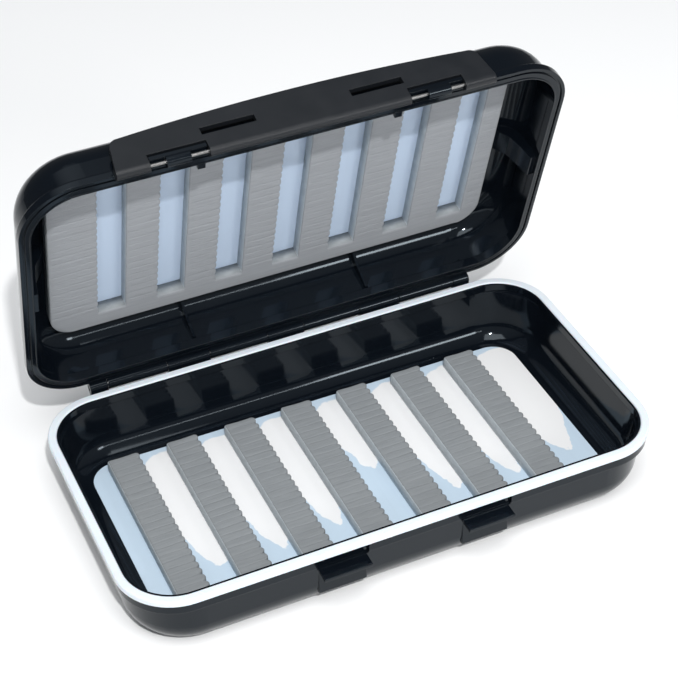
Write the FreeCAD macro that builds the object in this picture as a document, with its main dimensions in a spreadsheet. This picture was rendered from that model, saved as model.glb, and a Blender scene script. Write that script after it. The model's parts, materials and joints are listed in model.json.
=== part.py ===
import FreeCAD, Part
import math
import os
import re

import Sketcher

# Two-sided waterproof fly box, shown with its lid standing open.
# Millimetres. +Z is up, +X runs along the length of the box, and -Y is the latch side.
# The origin is the middle of the flat face that the base rests on.
# The lid and the latch flap are drawn closed, then turned about their hinge axes to the rest pose.

SIZES = {
    # Whole box.
    "rim_height": 25.0,
    "closed_height": 46.8,
    "draft_angle": 4.5,
    "shell_corner": 22.0,
    # Base shell, half sizes of each outline.
    "base_half_length": 93.4,
    "base_half_width": 51.6,
    "base_bottom_round": 11.0,
    "base_floor": 1.95,
    "base_floor_round": 8.0,
    "cavity_half_length": 91.4,
    "cavity_half_width": 49.0,
    "cavity_corner": 20.0,
    "mouth_half_length": 91.1,
    "mouth_half_width": 48.5,
    "mouth_corner": 16.3,
    "mouth_depth": 3.0,
    "flange_half_length": 94.2,
    "flange_half_width": 51.8,
    "flange_corner": 19.5,
    "flange_thick": 3.5,
    "lip_thick": 0.7,
    "lip_rise": 1.7,
    # Seal in the ledge between the lip and the edge of the flange.
    "gasket_half_length": 94.8,
    "gasket_half_width": 52.2,
    "gasket_corner": 20.0,
    "gasket_broad": 2.95,
    "gasket_thick": 2.1,
    "gasket_round": 0.6,
    # Catches that the latch flap snaps over.
    "catch_centre": 25.5,
    "catch_length": 16.6,
    "notch_length": 17.8,
    "notch_depth": 3.5,
    "notch_back": 50.4,
    "catch_tip": 56.0,
    "catch_face": 51.3,
    # Backing sheets, film and foam.
    "film_thick": 0.1,
    "film_margin": 0.5,
    "backing_thick": 0.4,
    "base_sheet_half_length": 81.9,
    "base_sheet_half_width": 40.0,
    "sheet_corner": 9.0,
    "strip_first": 75.1,
    "strip_pitch": 21.65,
    "strip_broad": 11.25,
    "strip_half_run": 36.6,
    "strip_thick": 5.05,
    # Lid shell.
    "lid_gap": 0.15,
    "lid_half_length": 94.0,
    "lid_half_width": 52.2,
    "lid_top_round": 13.0,
    "lid_top_thick": 1.9,
    "lid_inner_round": 9.5,
    "lid_flange_half_length": 95.0,
    "lid_flange_half_width": 52.9,
    "lid_flange_corner": 20.0,
    "lid_flange_thick": 3.05,
    "lid_flange_round": 0.8,
    "lid_lip_thick": 0.45,
    "lid_lip_drop": 0.25,
    "lid_cavity_half_length": 91.8,
    "lid_cavity_half_width": 49.8,
    "groove_half_length": 93.8,
    "groove_half_width": 51.7,
    "groove_corner": 18.8,
    "groove_broad": 0.8,
    "groove_depth": 0.6,
    "rib_thick": 1.0,
    "rear_rib_place": 33.3,
    "boss_centre": 1.0,
    "boss_broad": 9.0,
    "nub_size": 2.5,
    "nub_left": 35.8,
    "nub_right": 31.5,
    "lid_sheet_half_length": 80.6,
    "lid_sheet_half_width": 39.6,
    "lid_foam_half_length": 81.7,
    "lid_foam_half_width": 41.1,
    "lid_foam_thick": 4.7,
    "window_first": 64.75,
    "window_pitch": 21.55,
    "window_broad": 9.9,
    "window_half_run": 34.4,
    # Rear hinge.
    "hinge_back": 55.5,
    "knuckle_radius": 2.1,
    "hinge_bore_radius": 1.05,
    "hinge_pin_radius": 1.0,
    "knuckle_gap": 0.3,
    "hinge_pin_inset": 0.3,
    "lid_opening": 73.76,
    # Latch flap and its pins.
    "latch_front": 54.4,
    "latch_drop": 0.5,
    "bearing_radius": 1.9,
    "bearing_relief_radius": 2.2,
    "bearing_relief_half_length": 64.8,
    "latch_bore_radius": 0.65,
    "latch_pin_radius": 0.6,
    "latch_pin_inner": 30.0,
    "latch_pin_outer": 57.3,
    "latch_bore_spare": 0.3,
    "flap_thick": 1.8,
    "flap_inner_face": 52.5,
    "flap_root_half_length": 64.2,
    "flap_edge_half_length": 62.3,
    "flap_side_reach": 11.7,
    "flap_middle_reach": 14.4,
    "flap_corner": 3.0,
    "slot_inner": 16.2,
    "slot_outer": 34.3,
    "slot_near": 5.3,
    "slot_far": 8.1,
    "flap_window_inner": 34.05,
    "flap_window_outer": 53.3,
    "flap_window_reach": 3.0,
    "lug_inner": 34.3,
    "lug_outer": 53.1,
    "lug_knuckle_inner": 40.2,
    "lug_knuckle_outer": 48.1,
}

# Ends of the hinge knuckles along X. The base has the outer pair and every other one inward.
BASE_KNUCKLES = ((-73.6, -67.0), (-45.0, -29.0), (-7.0, 7.0), (29.0, 45.0), (67.0, 73.6))
LID_KNUCKLES = ((-67.0, -45.0), (-29.0, -7.0), (7.0, 29.0), (45.0, 67.0))
STRIP_COUNT = 7
WINDOW_COUNT = 7

LEDGE = "(rim_height - gasket_thick)"
LIP_TOP = "(rim_height - gasket_thick + lip_rise)"
MOUTH_FLOOR = "(rim_height - gasket_thick + lip_rise - mouth_depth)"
LID_LAND = "(rim_height + lid_gap)"
LID_MOUTH_TOP = "(rim_height + lid_gap + lid_flange_thick)"
LID_CEILING = "(closed_height - lid_top_thick)"
LATCH_HEIGHT = "(rim_height - latch_drop)"
CLOSE = 0.001


# ---------- helpers ----------

def bound(formula):
    """Write each size name in a formula as a reference to its cell in the sheet."""
    def cell(word):
        name = word.group(0)
        return "Sizes." + name if name in SIZES else name
    return re.sub(r"[a-z_]+", cell, str(formula))


def make_sheet(doc):
    sheet = doc.addObject("Spreadsheet::Sheet", "Sizes")
    for row, (name, size) in enumerate(SIZES.items(), start=1):
        sheet.set("A%d" % row, name.replace("_", " "))
        sheet.set("B%d" % row, str(size))
        sheet.setAlias("B%d" % row, name)
    doc.recompute()


def new_body(doc, name):
    body = doc.addObject("PartDesign::Body", name)
    body.Label = name
    return body


def origin_plane(body, role):
    for feature in body.Origin.OriginFeatures:
        if feature.Role == role:
            return feature
    raise ValueError(role)


def new_sketch(body, name, role, offset):
    sketch = body.newObject("Sketcher::SketchObject", name)
    sketch.AttachmentSupport = (origin_plane(body, role), "")
    sketch.MapMode = "FlatFace"
    sketch.setExpression("AttachmentOffset.Base.z", bound(offset))
    return sketch


def set_distance(sketch, kind, geometry, point, formula, guess):
    index = sketch.addConstraint(Sketcher.Constraint(kind, -1, 1, geometry, point, guess))
    sketch.setExpression("Constraints[%d]" % index, bound(formula))


def set_radius(sketch, geometry, formula, guess):
    index = sketch.addConstraint(Sketcher.Constraint("Radius", geometry, guess))
    sketch.setExpression("Constraints[%d]" % index, bound(formula))


def draw_rounded_rectangle(sketch, half_x, half_y, corner):
    """A rectangle about the origin with four tangent corner arcs."""
    guess_x, guess_y, guess_corner = 90.0, 50.0, 18.0
    quadrants = ((1, 1), (-1, 1), (-1, -1), (1, -1))
    up = FreeCAD.Vector(0, 0, 1)
    arcs = []
    for turn, (side_x, side_y) in enumerate(quadrants):
        centre = FreeCAD.Vector(side_x * (guess_x - guess_corner), side_y * (guess_y - guess_corner), 0)
        circle = Part.Circle(centre, up, guess_corner)
        arc = Part.ArcOfCircle(circle, turn * math.pi / 2, (turn + 1) * math.pi / 2)
        arcs.append(sketch.addGeometry(arc, False))
    for turn, arc in enumerate(arcs):
        following = arcs[(turn + 1) % 4]
        side = Part.LineSegment(sketch.getPoint(arc, 2), sketch.getPoint(following, 1))
        line = sketch.addGeometry(side, False)
        sketch.addConstraint(Sketcher.Constraint("Coincident", arc, 2, line, 1))
        sketch.addConstraint(Sketcher.Constraint("Coincident", line, 2, following, 1))
    for turn, arc in enumerate(arcs):
        side_x, side_y = quadrants[turn]
        first, second = ("Horizontal", "Vertical") if turn % 2 == 0 else ("Vertical", "Horizontal")
        sketch.addConstraint(Sketcher.Constraint(first, arc, 1, arc, 3))
        sketch.addConstraint(Sketcher.Constraint(second, arc, 2, arc, 3))
        set_distance(sketch, "DistanceX", arc, 3, "%d * ((%s) - (%s))" % (side_x, half_x, corner),
                     side_x * (guess_x - guess_corner))
        set_distance(sketch, "DistanceY", arc, 3, "%d * ((%s) - (%s))" % (side_y, half_y, corner),
                     side_y * (guess_y - guess_corner))
        set_radius(sketch, arc, corner, guess_corner)


def draw_polygon(sketch, corners):
    """A closed outline through corners, each a pair of formulas."""
    count = len(corners)
    guesses = []
    for index in range(count):
        angle = 2 * math.pi * index / count
        guesses.append(FreeCAD.Vector(10 * math.cos(angle), 10 * math.sin(angle), 0))
    lines = []
    for index in range(count):
        segment = Part.LineSegment(guesses[index], guesses[(index + 1) % count])
        lines.append(sketch.addGeometry(segment, False))
    for index in range(count):
        following = lines[(index + 1) % count]
        sketch.addConstraint(Sketcher.Constraint("Coincident", lines[index], 2, following, 1))
    for line, guess, (x, y) in zip(lines, guesses, corners):
        set_distance(sketch, "DistanceX", line, 1, x, guess.x)
        set_distance(sketch, "DistanceY", line, 1, y, guess.y)


def draw_rectangle(sketch, left, right, low, high):
    draw_polygon(sketch, ((left, low), (right, low), (right, high), (left, high)))


def draw_circle(sketch, x, y, radius):
    guess = Part.Circle(FreeCAD.Vector(10, 10, 0), FreeCAD.Vector(0, 0, 1), 2)
    circle = sketch.addGeometry(guess, False)
    set_distance(sketch, "DistanceX", circle, 3, x, 10)
    set_distance(sketch, "DistanceY", circle, 3, y, 10)
    set_radius(sketch, circle, radius, 2)


def extrude(body, kind, name, sketch, length, reverse=False, taper=None):
    """Pad or Pocket a sketch. A pad follows the sketch's normal and a pocket goes against it."""
    feature = body.newObject("PartDesign::" + kind, name)
    feature.Profile = sketch
    feature.setExpression("Length", bound(length))
    feature.Reversed = reverse
    if taper:
        feature.setExpression("TaperAngle", bound(taper))
    before = feature.BaseFeature.Shape.Volume if feature.BaseFeature else 0.0
    body.Document.recompute()
    change = feature.Shape.Volume - before
    if (change <= CLOSE) if kind == "Pad" else (change >= -CLOSE):
        raise RuntimeError("%s %s changes nothing" % (body.Label, name))
    return feature


def round_edges(body, name, base, radius, chosen):
    """Fillet the edges of base whose bounding box is chosen."""
    edges = []
    for index, edge in enumerate(base.Shape.Edges, start=1):
        if chosen(edge.BoundBox):
            edges.append("Edge%d" % index)
    fillet = body.newObject("PartDesign::Fillet", name)
    fillet.Base = (base, edges)
    fillet.setExpression("Radius", bound(radius))
    body.Document.recompute()
    if fillet.Shape.isNull() or not edges:
        raise RuntimeError("%s %s rounds nothing" % (body.Label, name))
    return fillet


def mirror(body, name, features, role):
    copy = body.newObject("PartDesign::Mirrored", name)
    copy.Originals = features
    copy.MirrorPlane = (origin_plane(body, role), [""])
    body.Tip = copy
    body.Document.recompute()
    return copy


def repeat_along_x(body, name, feature, step, count):
    pattern = body.newObject("PartDesign::LinearPattern", name)
    pattern.Originals = [feature]
    pattern.Direction = (origin_plane(body, "X_Axis"), [""])
    pattern.Length = SIZES[step] * (count - 1)
    pattern.setExpression("Length", bound("%s * %d" % (step, count - 1)))
    pattern.Occurrences = count
    body.Tip = pattern
    body.Document.recompute()
    return pattern


def rounded_block(body, name, height, half_x, half_y, corner, length, kind="Pad", reverse=False,
                  taper=None):
    """Pad or pocket a rounded rectangle that is drawn level at a height."""
    sketch = new_sketch(body, name + "Outline", "XY_Plane", height)
    draw_rounded_rectangle(sketch, half_x, half_y, corner)
    return extrude(body, kind, name, sketch, length, reverse, taper)


def ring_block(body, name, height, half_x, half_y, corner, broad, length, kind="Pad", reverse=False):
    """Pad or pocket a band of even breadth that runs round the box."""
    sketch = new_sketch(body, name + "Outline", "XY_Plane", height)
    draw_rounded_rectangle(sketch, half_x, half_y, corner)
    draw_rounded_rectangle(sketch, "%s - %s" % (half_x, broad), "%s - %s" % (half_y, broad),
                           "%s - %s" % (corner, broad))
    return extrude(body, kind, name, sketch, length, reverse)


def side_block(body, name, start, length, corners, kind="Pad"):
    """Pad or pocket an outline in Y and Z, from X = start towards +X."""
    sketch = new_sketch(body, name + "Outline", "YZ_Plane", start)
    draw_polygon(sketch, corners)
    return extrude(body, kind, name, sketch, length, reverse=(kind == "Pocket"))


def side_round(body, name, start, length, y, z, radius, kind="Pad"):
    """Pad or pocket a round bar along X, from X = start towards +X."""
    sketch = new_sketch(body, name + "Outline", "YZ_Plane", start)
    draw_circle(sketch, y, z, radius)
    return extrude(body, kind, name, sketch, length, reverse=(kind == "Pocket"))


def add_knuckles(body, spans, web):
    """Hinge knuckles with a web under each, and one bore through them all."""
    for index, (start, end) in enumerate(spans, start=1):
        left = "%s + knuckle_gap / 2" % start
        length = "%s - knuckle_gap" % (end - start)
        side_block(body, "Web%d" % index, left, length, web)
        side_round(body, "Knuckle%d" % index, left, length, "hinge_back", "rim_height", "knuckle_radius")
    half_run = BASE_KNUCKLES[-1][1]
    side_round(body, "HingeBore", -half_run, 2 * half_run, "hinge_back", "rim_height",
               "hinge_bore_radius", kind="Pocket")


def rod(doc, name, radius, start, length, y, z):
    """A plain steel pin along X."""
    pin = doc.addObject("Part::Cylinder", name)
    pin.Label = name
    pin.setExpression("Radius", bound(radius))
    pin.setExpression("Height", bound(length))
    pin.Placement = FreeCAD.Placement(FreeCAD.Vector(start, y, z),
                                      FreeCAD.Rotation(FreeCAD.Vector(0, 1, 0), 90))
    return pin


def plate(doc, name, height, half_x, half_y, corner, thick):
    body = new_body(doc, name)
    rounded_block(body, "Plate", height, half_x, half_y, corner, thick)
    return body


def opened_lid():
    """The turn about the rear hinge that carries the closed lid to the rest pose."""
    axis = FreeCAD.Vector(0, SIZES["hinge_back"], SIZES["rim_height"])
    turn = FreeCAD.Rotation(FreeCAD.Vector(1, 0, 0), -SIZES["lid_opening"])
    return FreeCAD.Placement(FreeCAD.Vector(0, 0, 0), turn, axis)


def folded_flap():
    """The half turn about the latch pins that folds the flap back against the lid."""
    axis = FreeCAD.Vector(0, -SIZES["latch_front"], SIZES["rim_height"] - SIZES["latch_drop"])
    turn = FreeCAD.Rotation(FreeCAD.Vector(1, 0, 0), 180)
    return FreeCAD.Placement(FreeCAD.Vector(0, 0, 0), turn, axis)


# ---------- base ----------

def make_base_shell(doc):
    """The lower half of the case, with its flange, catches and hinge knuckles in one moulding."""
    body = new_body(doc, "base_shell")
    rounded_block(body, "Wall", LEDGE, "base_half_length", "base_half_width", "shell_corner",
                  LEDGE, reverse=True, taper="-1 * draft_angle")
    rounded_block(body, "Flange", LEDGE, "flange_half_length", "flange_half_width", "flange_corner",
                  "flange_thick", reverse=True)
    rounded_block(body, "Lip", LEDGE, "mouth_half_length + lip_thick", "mouth_half_width + lip_thick",
                  "mouth_corner + lip_thick", "lip_rise")
    rounded_block(body, "Mouth", LIP_TOP, "mouth_half_length", "mouth_half_width", "mouth_corner",
                  "mouth_depth", kind="Pocket")
    cavity = rounded_block(body, "Cavity", MOUTH_FLOOR, "cavity_half_length", "cavity_half_width",
                           "cavity_corner", MOUTH_FLOOR + " - base_floor", kind="Pocket",
                           taper="-1 * draft_angle")
    floor = SIZES["base_floor"]
    inside = round_edges(body, "FloorRound", cavity, "base_floor_round",
                         lambda box: abs(box.ZMax - floor) < CLOSE and abs(box.ZMin - floor) < CLOSE)
    round_edges(body, "BottomRound", inside, "base_bottom_round", lambda box: box.ZMax < CLOSE)
    notch = new_sketch(body, "NotchOutline", "XY_Plane", LEDGE + " - flange_thick - 1")
    draw_rectangle(notch, "catch_centre - notch_length / 2", "catch_centre + notch_length / 2",
                   "-1 * catch_tip", "-1 * notch_back")
    notch_cut = extrude(body, "Pocket", "Notch", notch, "notch_depth + 1", reverse=True)
    catch_outline = (("-50.0", "rim_height - 6.75"),
                     ("-1 * catch_tip", "rim_height - 7.05"),
                     ("-1 * catch_tip", "rim_height - 8.15"),
                     ("-1 * catch_face", "rim_height - 8.15"),
                     ("-1 * catch_face + 0.3", "rim_height - 17.9"),
                     ("-46.8", "rim_height - 19.2"))
    catch = side_block(body, "Catch", "catch_centre - catch_length / 2", "catch_length", catch_outline)
    mirror(body, "OtherCatch", [notch_cut, catch], "YZ_Plane")
    web = (("51.3", "rim_height - 2.2"),
           ("51.3", "rim_height - 5.5"),
           ("52.6", "rim_height - 5.5"),
           ("hinge_back + 1.6", "rim_height - 1.3"),
           ("hinge_back - 1.9", "rim_height - 0.8"),
           ("52.7", "rim_height - 2.2"))
    add_knuckles(body, BASE_KNUCKLES, web)
    return body


def make_gasket(doc):
    """The rubber ring that lies on the ledge round the mouth of the base."""
    body = new_body(doc, "base_gasket")
    ring = ring_block(body, "Ring", LEDGE, "gasket_half_length", "gasket_half_width", "gasket_corner",
                      "gasket_broad", "gasket_thick")
    top = SIZES["rim_height"]
    round_edges(body, "TopRound", ring, "gasket_round", lambda box: abs(box.ZMin - top) < CLOSE)
    return body


def make_foam_strip(doc, index):
    """One plain foam bar across the floor of the base."""
    strip = doc.addObject("Part::Box", "base_foam_strip_%d" % (index + 1))
    strip.Label = "base_foam_strip_%d" % (index + 1)
    strip.setExpression("Length", bound("strip_broad"))
    strip.setExpression("Width", bound("2 * strip_half_run"))
    strip.setExpression("Height", bound("strip_thick"))
    strip.setExpression("Placement.Base.x", bound("%d * strip_pitch - strip_first" % index))
    strip.setExpression("Placement.Base.y", bound("-1 * strip_half_run"))
    strip.setExpression("Placement.Base.z", bound("base_floor + film_thick + backing_thick"))
    return strip


def make_base_pieces(doc):
    pieces = [make_base_shell(doc), make_gasket(doc)]
    pieces.append(plate(doc, "base_adhesive_film", "base_floor",
                        "base_sheet_half_length - film_margin", "base_sheet_half_width - film_margin",
                        "sheet_corner - film_margin", "film_thick"))
    pieces.append(plate(doc, "base_backing_sheet", "base_floor + film_thick",
                        "base_sheet_half_length", "base_sheet_half_width", "sheet_corner",
                        "backing_thick"))
    for index in range(STRIP_COUNT):
        pieces.append(make_foam_strip(doc, index))
    inset = SIZES["hinge_pin_inset"]
    half_run = BASE_KNUCKLES[-1][1]
    for name, start in (("hinge_pin_left", -half_run + inset), ("hinge_pin_right", inset)):
        pieces.append(rod(doc, name, "hinge_pin_radius", start, "%s - 2 * hinge_pin_inset" % half_run,
                          SIZES["hinge_back"], SIZES["rim_height"]))
    return pieces


# ---------- lid ----------

def add_lid_ribs(body):
    """Thin ribs that stiffen the rear wall, each following the inside of the wall."""
    profile = ((50.5, 3.5), (50.2, 10.0), (48.6, 15.5), (43.5, 20.2), (41.8, 20.5),
               (41.8, 17.8), (45.6, 13.8), (46.9, 9.0), (48.1, 3.5))
    rear = [("%s" % y, "rim_height + %s" % z) for y, z in profile]
    rib = side_block(body, "RearRib", "rear_rib_place - rib_thick / 2", "rib_thick", rear)
    mirror(body, "OtherRearRib", [rib], "YZ_Plane")


def add_end_bosses(body):
    """A broad boss up the middle of each end wall, from the flange to the edge of the foam."""
    profile = ((92.3, 1.6), (92.2, 10.0), (90.6, 15.5), (85.5, 20.2), (83.2, 20.5),
               (83.2, 17.2), (86.6, 12.8), (88.1, 8.0), (89.3, 1.6))
    outline = [("%s" % x, "rim_height + %s" % z) for x, z in profile]
    sketch = new_sketch(body, "EndBossOutline", "XZ_Plane", "-1 * boss_centre - boss_broad / 2")
    draw_polygon(sketch, outline)
    boss = extrude(body, "Pad", "EndBoss", sketch, "boss_broad")
    mirror(body, "OtherEndBoss", [boss], "YZ_Plane")


def add_lid_nubs(body):
    """Two small locating nubs inside the front edge."""
    for name, centre in (("NubLeft", "-1 * nub_left"), ("NubRight", "nub_right")):
        sketch = new_sketch(body, name + "Outline", "XY_Plane", "rim_height + 0.2")
        draw_rectangle(sketch, centre + " - nub_size / 2", centre + " + nub_size / 2",
                       "-1 * mouth_half_width - 0.3", "-1 * mouth_half_width + nub_size")
        extrude(body, "Pad", name, sketch, "1.3")


def add_latch_lugs(body):
    """Relief for the flap's barrel, then the two lugs that carry the latch pins."""
    side_round(body, "BarrelRelief", "-1 * bearing_relief_half_length", "2 * bearing_relief_half_length",
               "-1 * latch_front", LATCH_HEIGHT, "bearing_relief_radius", kind="Pocket")
    tab = (("-1 * latch_front + 2.4", LATCH_HEIGHT + " + 0.85"),
           ("-1 * latch_front - 1.7", LATCH_HEIGHT + " + 0.85"),
           ("-1 * latch_front - 1.7", LATCH_HEIGHT + " + 2.15"),
           ("-1 * latch_front - 1.4", LATCH_HEIGHT + " + 2.4"),
           ("-1 * latch_front + 2.4", LATCH_HEIGHT + " + 2.6"))
    lug = side_block(body, "Lug", "lug_inner", "lug_outer - lug_inner", tab)
    knuckle = side_round(body, "LugKnuckle", "lug_knuckle_inner", "lug_knuckle_outer - lug_knuckle_inner",
                         "-1 * latch_front", LATCH_HEIGHT, "bearing_radius")
    bore = side_round(body, "LugBore", "lug_inner", "lug_outer - lug_inner", "-1 * latch_front",
                      LATCH_HEIGHT, "latch_bore_radius", kind="Pocket")
    mirror(body, "OtherLug", [lug, knuckle, bore], "YZ_Plane")


def make_lid_shell(doc):
    """The upper half of the case, drawn closed over the base."""
    body = new_body(doc, "lid_shell")
    rounded_block(body, "Wall", LID_LAND, "lid_half_length", "lid_half_width", "shell_corner",
                  "closed_height - " + LID_LAND, taper="-1 * draft_angle")
    flange = rounded_block(body, "Flange", LID_LAND, "lid_flange_half_length",
                           "lid_flange_half_width", "lid_flange_corner", "lid_flange_thick")
    shoulder = SIZES["rim_height"] + SIZES["lid_gap"] + SIZES["lid_flange_thick"]
    outer = (SIZES["lid_flange_half_length"], SIZES["lid_flange_half_width"])

    def is_flange_edge(box):
        level = abs(box.ZMin - shoulder) < CLOSE and abs(box.ZMax - shoulder) < CLOSE
        reach_x = max(abs(box.XMin), abs(box.XMax))
        reach_y = max(abs(box.YMin), abs(box.YMax))
        return level and (abs(reach_x - outer[0]) < CLOSE or abs(reach_y - outer[1]) < CLOSE)

    round_edges(body, "FlangeRound", flange, "lid_flange_round", is_flange_edge)
    rounded_block(body, "Lip", LID_LAND, "mouth_half_length + lid_lip_thick",
                  "mouth_half_width + lid_lip_thick", "mouth_corner + lid_lip_thick",
                  "lid_lip_drop", reverse=True)
    rounded_block(body, "Mouth", LID_LAND + " - lid_lip_drop", "mouth_half_length", "mouth_half_width",
                  "mouth_corner", "lid_flange_thick + lid_lip_drop", kind="Pocket", reverse=True)
    cavity = rounded_block(body, "Cavity", LID_MOUTH_TOP, "lid_cavity_half_length",
                           "lid_cavity_half_width", "cavity_corner",
                           LID_CEILING + " - " + LID_MOUTH_TOP, kind="Pocket", reverse=True,
                           taper="-1 * draft_angle")
    ceiling = SIZES["closed_height"] - SIZES["lid_top_thick"]
    inside = round_edges(body, "CeilingRound", cavity, "lid_inner_round",
                         lambda box: abs(box.ZMax - ceiling) < CLOSE and abs(box.ZMin - ceiling) < CLOSE)
    top = SIZES["closed_height"]
    round_edges(body, "TopRound", inside, "lid_top_round", lambda box: box.ZMin > top - CLOSE)
    ring_block(body, "EdgeGroove", LID_LAND, "groove_half_length", "groove_half_width",
               "groove_corner", "groove_broad", "groove_depth", kind="Pocket", reverse=True)
    add_lid_ribs(body)
    add_end_bosses(body)
    add_lid_nubs(body)
    add_latch_lugs(body)
    web = (("51.9", "rim_height + 0.35"),
           ("hinge_back", "rim_height + 0.35"),
           ("hinge_back", "rim_height + 2.1"),
           ("51.9", "rim_height + 2.6"))
    add_knuckles(body, LID_KNUCKLES, web)
    return body


def make_lid_foam(doc):
    """The foam pad of the lid, with seven windows through to the sheet behind it."""
    body = new_body(doc, "lid_foam_pad")
    height = LID_CEILING + " - film_thick - backing_thick - lid_foam_thick"
    rounded_block(body, "Pad", height, "lid_foam_half_length", "lid_foam_half_width", "sheet_corner",
                  "lid_foam_thick")
    sketch = new_sketch(body, "WindowOutline", "XY_Plane", height)
    draw_rectangle(sketch, "-1 * window_first", "-1 * window_first + window_broad",
                   "-1 * window_half_run", "window_half_run")
    window = extrude(body, "Pocket", "Window", sketch, "lid_foam_thick", reverse=True)
    repeat_along_x(body, "Windows", window, "window_pitch", WINDOW_COUNT)
    return body


def make_lid_pieces(doc):
    pieces = [make_lid_shell(doc)]
    film_bottom = LID_CEILING + " - film_thick"
    pieces.append(plate(doc, "lid_adhesive_film", film_bottom,
                        "lid_sheet_half_length - film_margin", "lid_sheet_half_width - film_margin",
                        "sheet_corner - film_margin", "film_thick"))
    pieces.append(plate(doc, "lid_backing_sheet", film_bottom + " - backing_thick",
                        "lid_sheet_half_length", "lid_sheet_half_width", "sheet_corner",
                        "backing_thick"))
    pieces.append(make_lid_foam(doc))
    length = SIZES["latch_pin_outer"] - SIZES["latch_pin_inner"]
    for name, start in (("latch_pin_left", -SIZES["latch_pin_outer"]),
                        ("latch_pin_right", SIZES["latch_pin_inner"])):
        pieces.append(rod(doc, name, "latch_pin_radius", start, length, -SIZES["latch_front"],
                          SIZES["rim_height"] - SIZES["latch_drop"]))
    for piece in pieces:
        piece.Placement = opened_lid().multiply(piece.Placement)
    return pieces


# ---------- latch flap ----------

def draw_flap_outline(sketch):
    """The front view of the flap: straight sides and a free edge that bows outward."""
    root = SIZES["flap_root_half_length"]
    edge = SIZES["flap_edge_half_length"]
    axis = SIZES["rim_height"] - SIZES["latch_drop"]
    bow = SIZES["flap_middle_reach"] - SIZES["flap_side_reach"]
    radius = (edge * edge + bow * bow) / (2 * bow)
    centre = FreeCAD.Vector(0, axis - SIZES["flap_middle_reach"] + radius, 0)
    corner_left = FreeCAD.Vector(-edge, axis - SIZES["flap_side_reach"], 0)
    corner_right = FreeCAD.Vector(edge, axis - SIZES["flap_side_reach"], 0)
    half_angle = math.asin(edge / radius)
    circle = Part.Circle(centre, FreeCAD.Vector(0, 0, 1), radius)
    down = 1.5 * math.pi
    free = sketch.addGeometry(Part.ArcOfCircle(circle, down - half_angle, down + half_angle), False)
    top_left = FreeCAD.Vector(-root, axis, 0)
    top_right = FreeCAD.Vector(root, axis, 0)
    right = sketch.addGeometry(Part.LineSegment(corner_right, top_right), False)
    top = sketch.addGeometry(Part.LineSegment(top_right, top_left), False)
    left = sketch.addGeometry(Part.LineSegment(top_left, corner_left), False)
    chain = ((free, right), (right, top), (top, left), (left, free))
    for before, after in chain:
        sketch.addConstraint(Sketcher.Constraint("Coincident", before, 2, after, 1))
    set_radius(sketch, free, "(flap_edge_half_length * flap_edge_half_length"
               " + (flap_middle_reach - flap_side_reach) * (flap_middle_reach - flap_side_reach))"
               " / (2 * (flap_middle_reach - flap_side_reach))", radius)
    side_level = LATCH_HEIGHT + " - flap_side_reach"
    for line, x, guess_x, z, guess_z in (
            (right, "flap_edge_half_length", edge, side_level, corner_right.y),
            (top, "flap_root_half_length", root, LATCH_HEIGHT, axis),
            (left, "-1 * flap_root_half_length", -root, LATCH_HEIGHT, axis),
            (free, "-1 * flap_edge_half_length", -edge, side_level, corner_left.y)):
        set_distance(sketch, "DistanceX", line, 1, x, guess_x)
        set_distance(sketch, "DistanceY", line, 1, z, guess_z)


def make_latch_flap(doc):
    """The flap that swings down over the front of the box, drawn latched."""
    body = new_body(doc, "latch_flap")
    outline = new_sketch(body, "FlapOutline", "XZ_Plane", "flap_inner_face")
    draw_flap_outline(outline)
    leaf = extrude(body, "Pad", "Leaf", outline, "flap_thick")
    reach = SIZES["flap_edge_half_length"]
    low = SIZES["rim_height"] - SIZES["latch_drop"] - SIZES["flap_side_reach"]

    def is_free_corner(box):
        upright = box.XLength < CLOSE and box.ZLength < CLOSE
        return upright and abs(abs(box.XMin) - reach) < CLOSE and abs(box.ZMin - low) < CLOSE

    round_edges(body, "CornerRound", leaf, "flap_corner", is_free_corner)
    side_round(body, "Barrel", "-1 * flap_root_half_length", "2 * flap_root_half_length",
               "-1 * latch_front", LATCH_HEIGHT, "bearing_radius")
    window = new_sketch(body, "LugWindowOutline", "XZ_Plane", "flap_inner_face - 1")
    draw_rectangle(window, "flap_window_inner", "flap_window_outer",
                   LATCH_HEIGHT + " - flap_window_reach", LATCH_HEIGHT + " + flap_window_reach")
    window_cut = extrude(body, "Pocket", "LugWindow", window, "2 * bearing_radius + 2", reverse=True)
    slot = new_sketch(body, "CatchSlotOutline", "XZ_Plane", "flap_inner_face - 1")
    draw_rectangle(slot, "slot_inner", "slot_outer", LATCH_HEIGHT + " - slot_far",
                   LATCH_HEIGHT + " - slot_near")
    slot_cut = extrude(body, "Pocket", "CatchSlot", slot, "flap_thick + 2", reverse=True)
    bore = side_round(body, "PinBore", "latch_pin_inner - latch_bore_spare",
                      "latch_pin_outer - latch_pin_inner + 2 * latch_bore_spare",
                      "-1 * latch_front", LATCH_HEIGHT, "latch_bore_radius", kind="Pocket")
    mirror(body, "OtherSide", [window_cut, slot_cut, bore], "YZ_Plane")
    body.Placement = opened_lid().multiply(folded_flap())
    return body


# ---------- check and write ----------

def check_document(doc, pieces):
    for item in doc.Objects:
        if "Invalid" in item.State or "Error" in item.State:
            raise RuntimeError("%s failed: %s" % (item.Label, item.State))
    for piece in pieces:
        shape = piece.Shape
        if shape.isNull() or not shape.isValid() or len(shape.Solids) != 1:
            raise RuntimeError("%s has no single valid solid" % piece.Label)


def main():
    doc = FreeCAD.newDocument("fly_box")
    make_sheet(doc)
    pieces = make_base_pieces(doc) + make_lid_pieces(doc) + [make_latch_flap(doc)]
    doc.recompute()
    check_document(doc, pieces)
    os.makedirs("parts", exist_ok=True)
    for piece in pieces:
        piece.Shape.exportStep("parts/%s.step" % piece.Label)
        print("%-22s %10.1f mm3" % (piece.Label, piece.Shape.Volume))


main()
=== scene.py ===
import json
import math
import random

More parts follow.
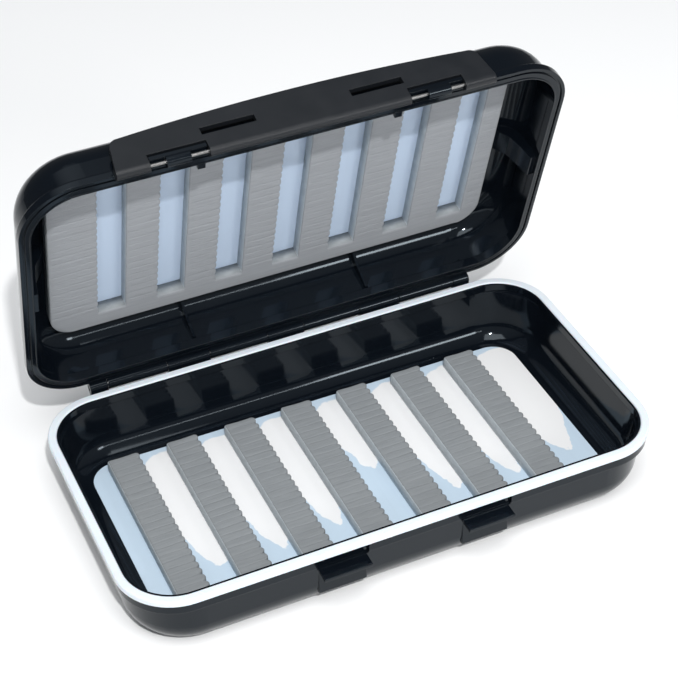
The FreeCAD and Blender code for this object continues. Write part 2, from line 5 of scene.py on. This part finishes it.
import bpy
from mathutils import Matrix, Vector, noise


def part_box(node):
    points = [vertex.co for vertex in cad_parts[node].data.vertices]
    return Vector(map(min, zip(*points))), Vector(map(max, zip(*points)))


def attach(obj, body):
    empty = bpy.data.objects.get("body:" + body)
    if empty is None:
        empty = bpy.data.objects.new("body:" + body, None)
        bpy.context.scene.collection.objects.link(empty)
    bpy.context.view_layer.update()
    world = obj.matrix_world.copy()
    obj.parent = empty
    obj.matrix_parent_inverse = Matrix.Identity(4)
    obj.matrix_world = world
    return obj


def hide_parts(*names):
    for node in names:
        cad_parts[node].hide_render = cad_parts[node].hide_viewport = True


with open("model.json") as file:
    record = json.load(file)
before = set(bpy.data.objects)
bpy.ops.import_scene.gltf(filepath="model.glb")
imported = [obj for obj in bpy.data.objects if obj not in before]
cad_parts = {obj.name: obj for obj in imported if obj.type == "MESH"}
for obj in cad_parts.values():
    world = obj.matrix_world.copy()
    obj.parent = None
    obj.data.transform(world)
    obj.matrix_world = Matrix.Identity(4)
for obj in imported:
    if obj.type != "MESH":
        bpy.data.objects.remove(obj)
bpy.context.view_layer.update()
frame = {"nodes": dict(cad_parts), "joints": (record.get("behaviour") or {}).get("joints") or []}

# An open two-sided fly box: glossy black case, white seal, grey slit foam on pale blue sheets,
# and a satin latch flap folded back over the front of the lid.
# Metres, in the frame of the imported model. MM turns sizes written in millimetres into metres.

MM = 0.001
NODES = frame["nodes"]
DICE = random.Random(20)

LID_JOINT = next(joint for joint in frame["joints"] if joint["name"] == "lid_hinge")
LID_AXIS_POINT = Vector(LID_JOINT["pos_m"])
LID_OPENING = math.radians(-LID_JOINT["range_deg"][0])


def lid_turn():
    """Carries a point from its place with the lid closed to its place at rest, the lid open."""
    turn = Matrix.Rotation(LID_OPENING, 4, Vector(LID_JOINT["axis"]))
    return Matrix.Translation(LID_AXIS_POINT) @ turn @ Matrix.Translation(-LID_AXIS_POINT)


LID_TURN = lid_turn()


def closed_box(name):
    """The box of a lid node as it stands when the lid is closed."""
    back = LID_TURN.inverted()
    points = [back @ vertex.co for vertex in NODES[name].data.vertices]
    low = Vector([min(point[axis] for point in points) for axis in range(3)])
    high = Vector([max(point[axis] for point in points) for axis in range(3)])
    return low, high


# ---------- materials ----------

# The gaps between the base strips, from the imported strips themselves.
FIRST_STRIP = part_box("base_foam_strip_1")
SECOND_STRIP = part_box("base_foam_strip_2")
GAP_START = FIRST_STRIP[1].x
GAP_BREADTH = SECOND_STRIP[0].x - FIRST_STRIP[1].x
STRIP_PITCH = SECOND_STRIP[0].x - FIRST_STRIP[0].x
# Painted glare on the base sheet: white patches in its colour stand for bright reflections on the
# glossy sheet. The ends lie along Y, and the middle is a share of a gap.
PATCH_REAR = 37.5 * MM
PATCH_CORNER = 5.0 * MM
PATCH_REAR_RAGGED = 5.0 * MM
PATCH_FRONT = -24.0 * MM
PATCH_MIDDLE = 0.75
PATCH_TONGUE = 34.0 * MM
PATCH_RAGGED = 16.0 * MM
PATCH_HUMP = 22.0 * MM
PATCH_HUMP_PLACE = 7.0 * MM
PATCH_HUMP_SPREAD = 15.0 * MM
PATCH_TONGUE_POWER = 1.6
PATCH_CORNER_POWER = 4.0
PATCH_FADE_START = -0.4 * MM
PATCH_FADE_END = 0.5 * MM
# The white of the painted glare, a painted highlight.
PAINTED_GLARE_COLOR = (0.755, 0.755, 0.755)
BASE_SHEET_COLOR = (0.49, 0.60, 0.70)
LID_SHEET_COLOR = (0.51, 0.61, 0.75)
SHEET_ROUGHNESS = 0.4
# Each foam's name, light and dark colour, scale of its cuts along each axis, and their depth.
# The last two are for the faces cut along the bars and windows, and across the windows' ends; the
# first of these is a lighter, bluer copy whose colour is painted bounce light from the blue sheets,
# while the ends keep about the lid foam's own tone.
FOAM_LOOKS = (
    ("foam_base", (0.228, 0.242, 0.250), (0.193, 0.206, 0.215), (110.0, 1500.0, 70.0), 0.06 * MM),
    ("foam_lid", (0.313, 0.326, 0.344), (0.277, 0.288, 0.304), (60.0, 1900.0, 1900.0), 0.025 * MM),
    # Painted bounce light: these cut faces are lighter and bluer than the foam's faces, for light
    # thrown up from the blue sheets.
    ("foam_cut_painted_bounce", (0.50, 0.54, 0.565), (0.44, 0.48, 0.505), (300.0, 300.0, 300.0), 0.05 * MM),
    ("foam_end", (0.30, 0.32, 0.33), (0.25, 0.27, 0.28), (300.0, 300.0, 300.0), 0.05 * MM),
)


def new_material(name, color, roughness):
    material = bpy.data.materials.new(name)
    material.use_nodes = True
    shader = material.node_tree.nodes["Principled BSDF"]
    shader.inputs["Base Color"].default_value = (*color, 1.0)
    shader.inputs["Roughness"].default_value = roughness
    return material, material.node_tree, shader


def add_node(tree, kind, inputs=None, **settings):
    node = tree.nodes.new(kind)
    for name, value in settings.items():
        setattr(node, name, value)
    for name, value in (inputs or {}).items():
        node.inputs[name].default_value = value
    return node


def object_coordinates(tree, scale=(1.0, 1.0, 1.0)):
    coordinates = add_node(tree, "ShaderNodeTexCoord")
    mapping = add_node(tree, "ShaderNodeMapping", {"Scale": scale})
    tree.links.new(coordinates.outputs["Object"], mapping.inputs["Vector"])
    return mapping.outputs["Vector"]


def noise_texture(tree, vector, scale, detail=3.0, rough=0.55):
    settings = {"Scale": scale, "Detail": detail, "Roughness": rough}
    texture = add_node(tree, "ShaderNodeTexNoise", settings)
    tree.links.new(vector, texture.inputs["Vector"])
    return texture.outputs["Fac"]


def remap(tree, value, low, high, start=0.3, end=0.7):
    """Carry a noise value from start..end to low..high."""
    node = add_node(tree, "ShaderNodeMapRange", {"From Min": start, "From Max": end,
                                                 "To Min": low, "To Max": high})
    tree.links.new(value, node.inputs["Value"])
    return node.outputs["Result"]


def mix_colors(tree, factor, first, second):
    node = add_node(tree, "ShaderNodeMix", data_type="RGBA")
    node.inputs["A"].default_value = (*first, 1.0)
    node.inputs["B"].default_value = (*second, 1.0)
    tree.links.new(factor, node.inputs["Factor"])
    return node.outputs["Result"]


def add_bump(tree, shader, height, strength, distance):
    bump = add_node(tree, "ShaderNodeBump", {"Strength": strength, "Distance": distance})
    tree.links.new(height, bump.inputs["Height"])
    tree.links.new(bump.outputs["Normal"], shader.inputs["Normal"])
    return bump


def math_node(tree, operation, *values):
    """A Math node whose inputs are sockets or numbers."""
    node = add_node(tree, "ShaderNodeMath", operation=operation)
    for socket, value in zip(node.inputs, values):
        if isinstance(value, (int, float)):
            socket.default_value = value
        else:
            tree.links.new(value, socket)
    return node.outputs[0]


def soften_edges(tree, bump, radius):
    """Round the sharp moulded edges a little, so that they catch the light."""
    bevel = add_node(tree, "ShaderNodeBevel", {"Radius": radius}, samples=4)
    tree.links.new(bevel.outputs["Normal"], bump.inputs["Normal"])


def case_material():
    """Polished black styrene, with faint flow marks and a little handling haze."""
    material, tree, shader = new_material("case_black", (0.003, 0.004, 0.006), 0.09)
    shader.inputs["Specular IOR Level"].default_value = 0.25
    # The bluish specular tint is painted light: it turns the reflections of the white floor and sky
    # blue, for bluish light around the box.
    shader.inputs["Specular Tint"].default_value = (0.80, 0.92, 1.0, 1.0)
    vector = object_coordinates(tree)
    haze = noise_texture(tree, vector, 38.0, 4.0)
    tree.links.new(remap(tree, haze, 0.05, 0.13), shader.inputs["Roughness"])
    tone = noise_texture(tree, vector, 14.0, 2.0)
    color = mix_colors(tree, tone, (0.002, 0.003, 0.005), (0.004, 0.006, 0.009))
    tree.links.new(color, shader.inputs["Base Color"])
    flow = noise_texture(tree, object_coordinates(tree, (0.5, 1.0, 1.0)), 45.0, 2.0)
    bump = add_bump(tree, shader, flow, 0.16, 0.0001)
    soften_edges(tree, bump, 0.3 * MM)
    return material


def flap_material():
    """Satin black plastic with a fine spark texture."""
    material, tree, shader = new_material("flap_satin", (0.022, 0.026, 0.031), 0.38)
    shader.inputs["Specular IOR Level"].default_value = 0.32
    vector = object_coordinates(tree)
    tone = noise_texture(tree, vector, 60.0, 4.0)
    color = mix_colors(tree, tone, (0.006, 0.0075, 0.0095), (0.012, 0.0135, 0.0165))
    tree.links.new(color, shader.inputs["Base Color"])
    cloudy = noise_texture(tree, vector, 120.0)
    tree.links.new(remap(tree, cloudy, 0.32, 0.46), shader.inputs["Roughness"])
    bump = add_bump(tree, shader, noise_texture(tree, vector, 2600.0, 2.0), 0.35, 0.00004)
    soften_edges(tree, bump, 0.35 * MM)
    return material


def rubber_material():
    """Smooth white rubber with a soft mottle and a little dust."""
    material, tree, shader = new_material("seal_white", (0.68, 0.73, 0.77), 0.48)
    shader.inputs["Subsurface Weight"].default_value = 0.15
    shader.inputs["Subsurface Scale"].default_value = 0.001
    vector = object_coordinates(tree)
    tone = noise_texture(tree, vector, 90.0, 4.0)
    color = mix_colors(tree, tone, (0.63, 0.685, 0.735), (0.71, 0.76, 0.80))
    tree.links.new(color, shader.inputs["Base Color"])
    dust = noise_texture(tree, vector, 160.0)
    tree.links.new(remap(tree, dust, 0.40, 0.56), shader.inputs["Roughness"])
    add_bump(tree, shader, noise_texture(tree, vector, 900.0, 2.0), 0.2, 0.00005)
    return material


def foam_material(name, light, dark, across, cut_depth):
    """Closed-cell foam: fine cells, soft blotches and thin cuts that run the way the slits do."""
    material, tree, shader = new_material(name, light, 0.95)
    shader.inputs["Specular IOR Level"].default_value = 0.2
    vector = object_coordinates(tree)
    cells = add_node(tree, "ShaderNodeTexVoronoi", {"Scale": 2600.0})
    tree.links.new(vector, cells.inputs["Vector"])
    blotch = noise_texture(tree, vector, 110.0, 5.0, 0.6)
    cuts = noise_texture(tree, object_coordinates(tree, across), 1.0, 2.0, 0.5)
    cut_shade = remap(tree, cuts, 0.0, 0.5, 0.40, 0.58)
    total = math_node(tree, "ADD", cut_shade, math_node(tree, "MULTIPLY", blotch, 0.5))
    color = mix_colors(tree, total, dark, light)
    tree.links.new(color, shader.inputs["Base Color"])
    coarse = add_bump(tree, shader, cuts, 0.5, cut_depth)
    fine = add_node(tree, "ShaderNodeBump", {"Strength": 0.5, "Distance": 0.00006})
    tree.links.new(cells.outputs["Distance"], fine.inputs["Height"])
    tree.links.new(fine.outputs["Normal"], coarse.inputs["Normal"])
    return material


def sheet_color(tree, color):
    """Pale blue with faint streaks along the sheet's length."""
    streaks = noise_texture(tree, object_coordinates(tree, (400.0, 12.0, 12.0)), 1.0, 3.0)
    darker = [channel * 0.94 for channel in color]
    return mix_colors(tree, streaks, darker, color), streaks


def sheet_material(name, color, roughness):
    """Pale blue plastic sheet, with the parts that the base sheet with its painted glare builds on.
    """
    material, tree, shader = new_material(name, color, roughness)
    tinted, streaks = sheet_color(tree, color)
    tree.links.new(tinted, shader.inputs["Base Color"])
    cloudy = noise_texture(tree, object_coordinates(tree), 70.0, 3.0)
    varied = remap(tree, cloudy, roughness * 0.8, roughness * 1.2)
    tree.links.new(varied, shader.inputs["Roughness"])
    add_bump(tree, shader, streaks, 0.15, 0.00006)
    return material, tree, shader, tinted


def smooth_step(tree, value, start, end):
    node = add_node(tree, "ShaderNodeMapRange", {"From Min": start, "From Max": end},
                    interpolation_type="SMOOTHSTEP")
    tree.links.new(value, node.inputs["Value"])
    return node.outputs["Result"]


def painted_glare_mask(tree):
    """1 inside the patches of painted glare (a painted highlight), which end in ragged tongues
    towards the front of the box.
    """
    coordinates = add_node(tree, "ShaderNodeTexCoord").outputs["Object"]
    split = add_node(tree, "ShaderNodeSeparateXYZ")
    tree.links.new(coordinates, split.inputs["Vector"])
    x, y = split.outputs["X"], split.outputs["Y"]
    ragged = math_node(tree, "SUBTRACT", noise_texture(tree, coordinates, 110.0, 3.0), 0.5)
    # Where a place lies across its gap between two strips: 0 at the left edge, 1 at the right.
    steps = math_node(tree, "DIVIDE", math_node(tree, "SUBTRACT", x, GAP_START), STRIP_PITCH)
    across = math_node(tree, "MULTIPLY", math_node(tree, "FRACT", steps), STRIP_PITCH / GAP_BREADTH)
    off_middle = math_node(tree, "ABSOLUTE", math_node(tree, "SUBTRACT", across, PATCH_MIDDLE))
    taper = math_node(tree, "POWER", off_middle, PATCH_TONGUE_POWER)
    tongue = math_node(tree, "MULTIPLY", taper, PATCH_TONGUE)
    from_hump = math_node(tree, "SUBTRACT", x, PATCH_HUMP_PLACE)
    hump = math_node(tree, "DIVIDE", from_hump, PATCH_HUMP_SPREAD)
    hump_square = math_node(tree, "MULTIPLY", hump, hump)
    hump = math_node(tree, "EXPONENT", math_node(tree, "MULTIPLY", hump_square, -1.0))
    low = math_node(tree, "ADD", tongue, math_node(tree, "MULTIPLY", hump, PATCH_HUMP))
    low = math_node(tree, "ADD", low, PATCH_FRONT)
    low = math_node(tree, "ADD", low, math_node(tree, "MULTIPLY", ragged, PATCH_RAGGED))
    corner = math_node(tree, "SUBTRACT", 1.0, across)
    corner = math_node(tree, "POWER", corner, PATCH_CORNER_POWER)
    corner = math_node(tree, "MULTIPLY", corner, PATCH_CORNER)
    high = math_node(tree, "SUBTRACT", PATCH_REAR, corner)
    high = math_node(tree, "ADD", high, math_node(tree, "MULTIPLY", ragged, PATCH_REAR_RAGGED))
    inside = math_node(tree, "MINIMUM", math_node(tree, "SUBTRACT", y, low),
                       math_node(tree, "SUBTRACT", high, y))
    inside = math_node(tree, "MINIMUM", inside, math_node(tree, "SUBTRACT", x, GAP_START))
    return smooth_step(tree, inside, PATCH_FADE_START, PATCH_FADE_END)


def glare_painted_sheet_material(color, roughness):
    """The base sheet, with painted glare: a white painted highlight over much of its length."""
    material, tree, shader, tinted = sheet_material("sheet_base", color, roughness)
    mask = painted_glare_mask(tree)
    mix = add_node(tree, "ShaderNodeMix", data_type="RGBA")
    mix.inputs["B"].default_value = (*PAINTED_GLARE_COLOR, 1.0)
    tree.links.new(mask, mix.inputs["Factor"])
    tree.links.new(tinted, mix.inputs["A"])
    tree.links.new(mix.outputs["Result"], shader.inputs["Base Color"])
    return material


def film_material():
    material, tree, shader = new_material("film_clear", (0.74, 0.77, 0.79), 0.3)
    tone = noise_texture(tree, object_coordinates(tree), 200.0, 3.0)
    color = mix_colors(tree, tone, (0.68, 0.71, 0.74), (0.80, 0.82, 0.84))
    tree.links.new(color, shader.inputs["Base Color"])
    return material


def steel_material():
    """Drawn wire with marks along its length."""
    material, tree, shader = new_material("pin_wire", (0.22, 0.22, 0.22), 0.3)
    shader.inputs["Metallic"].default_value = 1.0
    marks = noise_texture(tree, object_coordinates(tree, (20.0, 900.0, 900.0)), 1.0, 3.0)
    tree.links.new(remap(tree, marks, 0.18, 0.40), shader.inputs["Roughness"])
    color = mix_colors(tree, marks, (0.16, 0.16, 0.16), (0.28, 0.28, 0.275))
    tree.links.new(color, shader.inputs["Base Color"])
    add_bump(tree, shader, marks, 0.2, 0.00003)
    return material


def paint(name, material):
    """Give a CAD node its material."""
    data = NODES[name].data
    if not data.materials:
        data.materials.append(material)
    for slot in NODES[name].material_slots:
        slot.material = material


# ---------- mesh helpers ----------

def make_piece(name, vertices, faces, material, body):
    mesh = bpy.data.meshes.new(name)
    mesh.from_pydata(vertices, [], faces)
    mesh.validate()
    mesh.update()
    piece = bpy.data.objects.new(name, mesh)
    bpy.context.scene.collection.objects.link(piece)
    mesh.materials.append(material)
    mesh.shade_smooth()
    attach(piece, body)
    return piece


# ---------- foam ----------

# Share of an edge rounding at which its middle point lies.
ROUND_MIDDLE = 0.3
# Rows closer than this are one row.
SAME_ROW = 1e-7
# A face is one of the cut faces when its normal lies this far along X.
BAR_CUT_NORMAL = -0.7
WINDOW_CUT_NORMAL = 0.5

SLIT_PITCH = 3.25 * MM
SLIT_HALF = 0.10 * MM
SLIT_DEPTH = 0.1 * MM

# The bars across the base.
BAR_ROWS = 7
BAR_COLUMNS = 8
BAR_SLIT_SPREAD = 0.22 * MM
BAR_SCALLOP = 1.2 * MM
BAR_EDGE_ROUND = 0.55 * MM
BAR_END_ROUND = 0.9 * MM
BAR_END_DROP = 0.72 * MM
BAR_LEAN = 0.25 * MM
BAR_LIFT = 0.04 * MM
BAR_SAG = 0.02 * MM
BAR_WAVE = 0.09 * MM
BAR_WAVE_ACROSS = 7.0
BAR_WAVE_ALONG = 900.0

# The pad in the lid.
WINDOWS = 7
WINDOW_FIRST = 64.75 * MM
WINDOW_PITCH = 21.55 * MM
WINDOW_BREADTH = 9.9 * MM
WINDOW_HALF_RUN = 34.4 * MM
PAD_ROWS = 6
PAD_MARGIN_ROWS = 14
PAD_COLUMNS = 8
PAD_CORNER = 9.0 * MM
PAD_ROUND = 0.3 * MM
PAD_SLIT_SPREAD = 0.12 * MM
PAD_SLIT_DEPTH = 0.06 * MM
PAD_SCALLOP = 0.5 * MM
PAD_SINK = 0.1 * MM
PAD_RIPPLE = 0.05 * MM
PAD_MARGIN_RIPPLE = 0.02 * MM
PAD_RIPPLE_ACROSS = 160.0
PAD_RIPPLE_ALONG = 900.0


def slit_places(low, high, spread):
    """Places of the slits between low and high, each a little off its even place."""
    count = int(round((high - low) / SLIT_PITCH))
    step = (high - low) / count
    return [low + step * index + DICE.uniform(-spread, spread) for index in range(1, count)]


def at_slit(y, slits):
    return any(abs(y - place) < 0.5 * SLIT_HALF for place in slits)


def rows_between(low, high, slits, steps):
    """Stations along a foam: a close pair at each slit, and even steps between slits."""
    stops = [low] + slits + [high]
    rows = [low]
    for start, end in zip(stops[:-1], stops[1:]):
        first = start + (SLIT_HALF if start != low else 0.0)
        last = end - (SLIT_HALF if end != high else 0.0)
        rows += [first + (last - first) * step / steps for step in range(steps + 1)]
        rows.append(end)
    unique = []
    for row in rows:
        if not unique or row - unique[-1] > SAME_ROW:
            unique.append(row)
    return unique


def lobe(y, stops):
    """0 at each slit, rising to 1 halfway between slits."""
    for start, end in zip(stops[:-1], stops[1:]):
        if start <= y <= end:
            along = (y - start) / (end - start)
            return 1.0 - (2.0 * along - 1.0) ** 2
    return 0.0


def rounded_drop(from_edge, radius):
    """How far a rounded edge lies below the flat, at this distance in from the edge."""
    if from_edge >= radius:
        return 0.0
    return radius - math.sqrt(radius ** 2 - (radius - from_edge) ** 2)


def bar_section(left, right, low, top, bulge):
    """Corners of a bar's cross-section, clockwise seen along +Y, from the lower left."""
    r = BAR_EDGE_ROUND
    middle = ROUND_MIDDLE * r
    half_way = low + 0.5 * (top - low)
    step = (right - left - 2 * r) / BAR_COLUMNS
    edge = right - BAR_SCALLOP + BAR_SCALLOP * bulge
    points = [(left, low), (left, half_way), (left, top - r), (left + middle, top - middle)]
    points += [(left + r + step * index, top) for index in range(BAR_COLUMNS)]
    points += [(edge - r, top), (edge - middle, top - middle), (edge, top - r)]
    points += [(edge, half_way), (edge, low)]
    return points


def bar_sections(low, high):
    """Cross-sections of one bar from front to back, each a list of points."""
    slits = slit_places(low.y, high.y, BAR_SLIT_SPREAD)
    stops = [low.y] + slits + [high.y]
    lean = DICE.uniform(-BAR_LEAN, BAR_LEAN)
    lifts = [DICE.uniform(0.0, BAR_LIFT) for _ in stops]
    sections = []
    for y in rows_between(low.y, high.y, slits, BAR_ROWS):
        bulge = lobe(y, stops)
        end_drop = min(rounded_drop(min(y - low.y, high.y - y), BAR_END_ROUND), BAR_END_DROP)
        groove = SLIT_DEPTH
        if not at_slit(y, slits):
            piece = sum(1 for place in slits if place < y)
            groove = lifts[piece] + BAR_SAG * (1.0 - bulge)
        section = []
        for x, z in bar_section(low.x, high.x, low.z, high.z - groove - end_drop, bulge):
            across = (x - low.x) / (high.x - low.x)
            wave = 0.0
            if z > low.z:
                wave = BAR_WAVE * math.sin(BAR_WAVE_ACROSS * across + BAR_WAVE_ALONG * y)
            section.append((x, min(max(y + lean * across + wave, low.y), high.y), z))
        sections.append(section)
    return sections


def make_foam_bar(name, material, bounce_lit_material):
    """One foam bar: plain cut on its left side, with slits that leave lobes on its right side."""
    low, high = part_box(name)
    sections = bar_sections(low, high)
    count = len(sections[0])
    last = (len(sections) - 1) * count
    faces = []
    for start in range(0, last, count):
        for index in range(count):
            first = start + index
            second = start + (index + 1) % count
            faces.append((first, second, second + count, first + count))
    faces.append(tuple(reversed(range(count))))
    faces.append(tuple(range(last, last + count)))
    points = [point for section in sections for point in section]
    piece = make_piece(name + "_slit_foam", points, faces, material, "base")
    piece.data.materials.append(bounce_lit_material)
    for polygon in piece.data.polygons:
        # The left sides take the lighter cut colour, which is painted bounce light.
        polygon.material_index = 1 if polygon.normal.x < BAR_CUT_NORMAL else 0
    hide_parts(name)


def pad_rows(half, slits):
    """Stations along the pad, closer together towards its ends, where the corners turn."""
    margin = []
    for step in range(1, PAD_MARGIN_ROWS):
        share = math.sin(0.5 * math.pi * step / PAD_MARGIN_ROWS)
        margin.append(WINDOW_HALF_RUN + (half - WINDOW_HALF_RUN) * share)
    margin.append(half)
    inner = rows_between(-WINDOW_HALF_RUN, WINDOW_HALF_RUN, slits, PAD_ROWS)
    return [-y for y in reversed(margin)] + inner + margin


def pad_edges(left, right, bulge):
    """Both ends of the pad along one row, with both sides of each window between them."""
    edges = [left]
    for index in range(WINDOWS):
        start = -WINDOW_FIRST + WINDOW_PITCH * index
        edges += [start - PAD_SCALLOP * (1.0 - bulge), start + WINDOW_BREADTH]
    return edges + [right]


def pad_row(y, edges, face, drop, at_windows):
    """Points of the pad's face along one row, strip by strip, with the open edges rounded."""
    middle = ROUND_MIDDLE * PAD_ROUND
    drops = [PAD_ROUND, middle] + [0.0] * (PAD_COLUMNS + 1) + [middle, PAD_ROUND]
    ripple = PAD_RIPPLE if at_windows else PAD_MARGIN_RIPPLE
    points = []
    for strip in range(WINDOWS + 1):
        left, right = edges[2 * strip], edges[2 * strip + 1]
        first, last = left + PAD_ROUND, right - PAD_ROUND
        places = [left, left + middle, first]
        places += [first + (last - first) * step / PAD_COLUMNS for step in range(1, PAD_COLUMNS)]
        places += [last, right - middle, right]
        for x, edge_drop in zip(places, drops):
            outer = (strip == 0 and x < first) or (strip == WINDOWS and x > last)
            if not (at_windows or outer):
                edge_drop = 0.0
            place = Vector((x * PAD_RIPPLE_ACROSS, y * PAD_RIPPLE_ALONG, 0.0))
            height = ripple * noise.noise(place)
            points.append(Vector((x, y, face + max(drop, edge_drop) + PAD_SINK + height)))
    return points


def pad_grid():
    """The pad with the lid closed: points of its face, faces between them, height of its back."""
    low, high = closed_box("lid_foam_pad")
    half = high.y
    slits = slit_places(-WINDOW_HALF_RUN, WINDOW_HALF_RUN, PAD_SLIT_SPREAD)
    stops = [-WINDOW_HALF_RUN] + slits + [WINDOW_HALF_RUN]
    rows = pad_rows(half, slits)
    at_windows = [abs(y) <= WINDOW_HALF_RUN + SAME_ROW for y in rows]
    points = []
    for y, windowed in zip(rows, at_windows):
        inset = rounded_drop(half - abs(y), PAD_CORNER)
        bulge = lobe(y, stops) if abs(y) < WINDOW_HALF_RUN else 1.0
        edges = pad_edges(low.x + inset, high.x - inset, bulge)
        drop = PAD_SLIT_DEPTH if at_slit(y, slits) else rounded_drop(half - abs(y), PAD_ROUND)
        points += pad_row(y, edges, low.z, drop, windowed)
    # Each strip has two more points in the rounding at each side.
    per_strip = PAD_COLUMNS + 5
    per_row = per_strip * (WINDOWS + 1)
    quads = []
    for row in range(len(rows) - 1):
        open_windows = at_windows[row] and at_windows[row + 1]
        for column in range(per_row - 1):
            if open_windows and (column + 1) % per_strip == 0:
                continue
            first = row * per_row + column
            quads.append((first, first + per_row, first + per_row + 1, first + 1))
    return points, quads, high.z


def closed_faces(quads, count):
    """A solid's faces: a grid, its back, whose points come count later, and walls between them."""
    faces = quads + [tuple(index + count for index in reversed(quad)) for quad in quads]
    edges = [edge for quad in quads for edge in zip(quad, quad[1:] + quad[:1])]
    taken = set(edges)
    for start, end in edges:
        if (end, start) not in taken:
            faces.append((end, start, start + count, end + count))
    return faces


def make_lid_foam(material, bounce_lit_material, end_material):
    """The lid's foam pad, with seven windows cut through it."""
    front, quads, back_height = pad_grid()
    back = [Vector((point.x, point.y, back_height)) for point in front]
    points = [tuple(LID_TURN @ point) for point in front + back]
    faces = closed_faces(quads, len(front))
    piece = make_piece("lid_slit_foam", points, faces, material, "lid")
    piece.data.materials.append(bounce_lit_material)
    piece.data.materials.append(end_material)
    for polygon in piece.data.polygons:
        if polygon.index >= 2 * len(quads):
            # The window side walls take the lighter cut colour, which is painted bounce light; the
            # other walls take the end colour.
            polygon.material_index = 1 if abs(polygon.normal.x) > WINDOW_CUT_NORMAL else 2
    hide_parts("lid_foam_pad")


# ---------- stage ----------

CAMERA_PLACE = Vector((-0.1871, -0.4235, 0.4406))
CAMERA_AIM = Vector((0.0158, 0.0428, 0.0250))
CAMERA_ROLL = math.radians(-1.31)
CAMERA_LENS = 97.8
LID_FRONT = Vector((0.0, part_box("latch_flap")[0].y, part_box("latch_flap")[1].z))
KEY_DIRECTION = Vector((-0.165, -0.682, 0.71))
KEY_DISTANCE = 1.2
# Each lamp's name, place, aim, size and watts. The key casts the flap's shadow on the lid's foam,
# and the softbox and the strip draw the bright lines along the inner edges.
LAMPS = (
    ("key", LID_FRONT + KEY_DIRECTION * KEY_DISTANCE, LID_FRONT, (0.03, 0.03), 10.0),
    ("softbox", (0.385, -0.76, 0.49), (0.0, 0.05, 0.02), (0.18, 0.13), 1.5),
    ("strip", (0.18, -0.79, 0.505), (0.0, 0.05, 0.01), (0.22, 0.025), 0.3),
    ("overhead", (-0.15, -0.33, 1.0), (0.0, 0.045, 0.005), (0.6, 0.6), 5.3),
)
FLOOR_SIZE = 8.0
FLOOR_COLOR = (0.93, 0.93, 0.93)
SKY_COLOR = (0.93, 0.965, 1.0, 1.0)
SKY_FRONT = (0.0, -0.98, -0.2)
SKY_CEILING = Vector((-0.1, 0.2, 0.97)).normalized()
# Where each part of the sky starts to brighten and where it is brightest.
SKY_FRONT_SPAN = (-0.45, 0.45)
SKY_CEILING_SPAN = (0.86, 0.99)
SKY_FRONT_STRENGTH = 0.33
SKY_CEILING_STRENGTH = 1.2
SKY_DIM_STRENGTH = 0.12


def make_camera():
    data = bpy.data.cameras.new("camera")
    data.lens = CAMERA_LENS
    data.sensor_width = 36.0
    camera = bpy.data.objects.new("camera", data)
    bpy.context.scene.collection.objects.link(camera)
    facing = (CAMERA_AIM - CAMERA_PLACE).to_track_quat("-Z", "Y").to_matrix().to_4x4()
    roll = Matrix.Rotation(CAMERA_ROLL, 4, "Z")
    camera.matrix_world = Matrix.Translation(CAMERA_PLACE) @ facing @ roll
    bpy.context.scene.camera = camera


def area_light(name, place, aim, size, power):
    data = bpy.data.lights.new(name, "AREA")
    data.shape = "RECTANGLE"
    data.size, data.size_y = size
    data.energy = power
    light = bpy.data.objects.new(name, data)
    bpy.context.scene.collection.objects.link(light)
    light.location = place
    light.rotation_euler = (Vector(aim) - Vector(place)).to_track_quat("-Z", "Y").to_euler()


def make_stage():
    bpy.ops.mesh.primitive_plane_add(size=FLOOR_SIZE, location=(0.0, 0.0, 0.0))
    floor = bpy.context.object
    floor.name = "floor"
    material, _, shader = new_material("floor_pale", FLOOR_COLOR, 0.9)
    shader.inputs["Specular IOR Level"].default_value = 0.0
    floor.data.materials.append(material)
    make_sky()
    for lamp in LAMPS:
        area_light(*lamp)
    bpy.context.scene.view_settings.view_transform = "Standard"


def make_sky():
    """A studio that is brightest overhead, fainter in front of the box, and dim low behind it."""
    world = bpy.data.worlds.new("studio")
    bpy.context.scene.world = world
    world.use_nodes = True
    tree = world.node_tree
    background = tree.nodes["Background"]
    direction = add_node(tree, "ShaderNodeTexCoord").outputs["Generated"]
    front = sky_part(tree, direction, SKY_FRONT, SKY_FRONT_SPAN, SKY_FRONT_STRENGTH)
    ceiling = sky_part(tree, direction, SKY_CEILING, SKY_CEILING_SPAN, SKY_CEILING_STRENGTH)
    strength = math_node(tree, "ADD", math_node(tree, "MAXIMUM", front, ceiling), SKY_DIM_STRENGTH)
    tree.links.new(strength, background.inputs["Strength"])
    background.inputs["Color"].default_value = SKY_COLOR


def sky_part(tree, direction, middle, span, strength):
    """Brightness that grows as a direction turns towards the middle of a part of the sky."""
    towards = add_node(tree, "ShaderNodeVectorMath", operation="DOT_PRODUCT")
    towards.inputs[1].default_value = middle
    tree.links.new(direction, towards.inputs[0])
    return remap(tree, towards.outputs["Value"], 0.0, strength, *span)


# ---------- build ----------

def main():
    case = case_material()
    for name in ("base_shell", "lid_shell"):
        paint(name, case)
    paint("latch_flap", flap_material())
    paint("base_gasket", rubber_material())
    # The base sheet carries painted glare, a painted highlight, in its colour.
    paint("base_backing_sheet", glare_painted_sheet_material(BASE_SHEET_COLOR, SHEET_ROUGHNESS))
    paint("lid_backing_sheet", sheet_material("sheet_lid", LID_SHEET_COLOR, SHEET_ROUGHNESS)[0])
    film = film_material()
    for name in ("base_adhesive_film", "lid_adhesive_film"):
        paint(name, film)
    steel = steel_material()
    for name in ("hinge_pin_left", "hinge_pin_right", "latch_pin_left", "latch_pin_right"):
        paint(name, steel)
    base_foam, lid_foam, bounce_lit_foam, end_foam = [foam_material(*look) for look in FOAM_LOOKS]
    for name in sorted(node for node in NODES if node.startswith("base_foam_strip")):
        make_foam_bar(name, base_foam, bounce_lit_foam)
    make_lid_foam(lid_foam, bounce_lit_foam, end_foam)
    make_camera()
    make_stage()


main()
